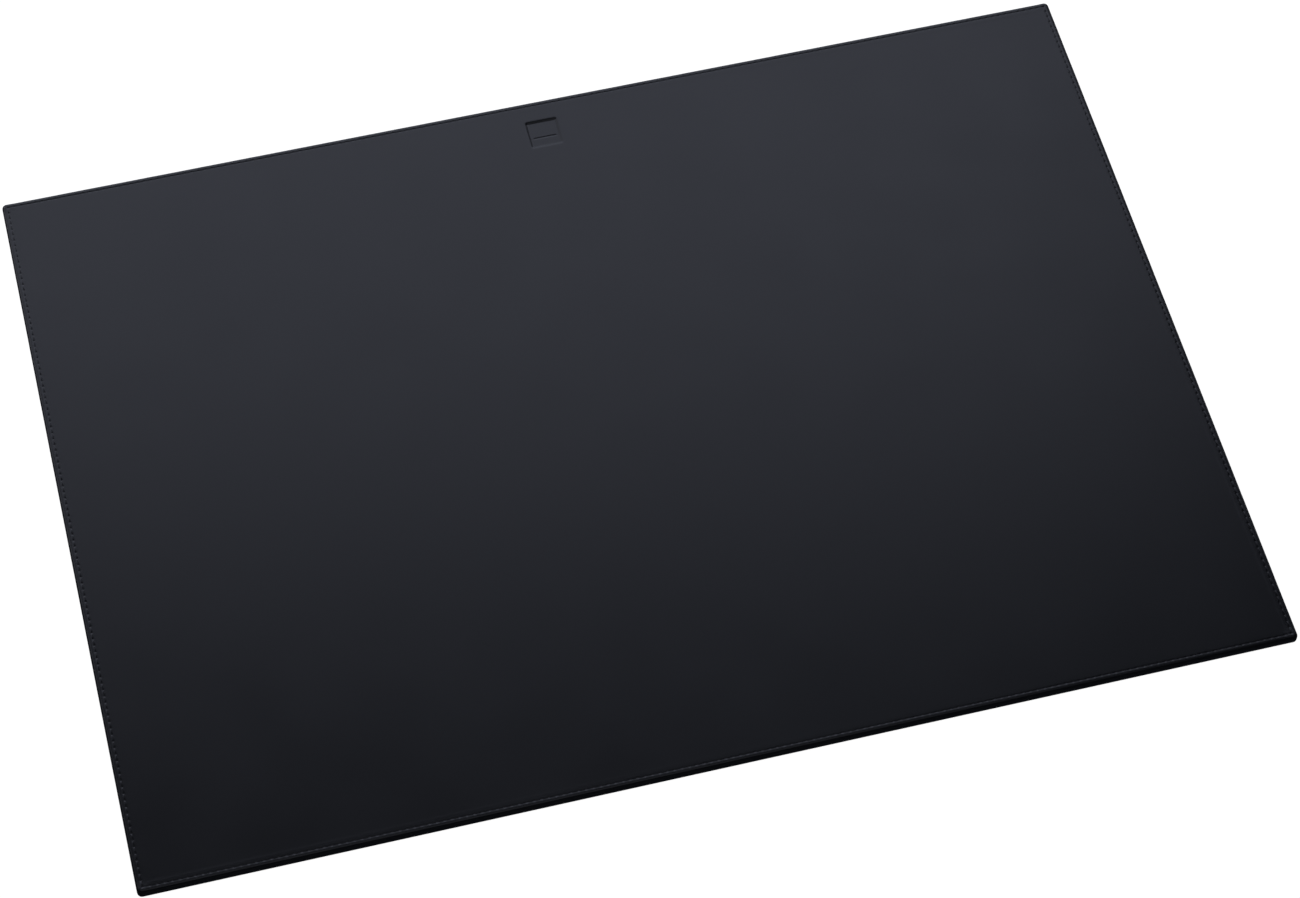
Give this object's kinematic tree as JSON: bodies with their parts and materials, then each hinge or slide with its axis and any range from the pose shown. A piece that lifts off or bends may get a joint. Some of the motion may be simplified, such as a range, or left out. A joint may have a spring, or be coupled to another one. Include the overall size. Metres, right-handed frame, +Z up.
{
  "type": "desk mat",
  "caption": "Flat rectangular sewn leather desk mat with rounded turned edges, a stitched border and a small pressed square badge, for writing or working on.",
  "frame": {"origin": "centre of the mat's outline, on the plane of the desk that it lies on", "axes": "+X along the mat's width to the right of a person sitting at it, +Y away from that person toward the edge with the badge, +Z up out of the writing surface"},
  "size_m": [0.7, 0.5, 0.0065],
  "materials": {
    "leather": "satin",
    "foam": "matte",
    "board": "matte",
    "card": "matte",
    "backing": "matte",
    "thread": "satin"
  },
  "bodies": {
    "root": {"leather_cover": "leather", "foam_interlining": "foam", "core_board": "board", "infill_card": "card", "backing_sheet": "backing", "needle_thread": "thread", "bobbin_thread": "thread"}
  },
  "joints": []
}
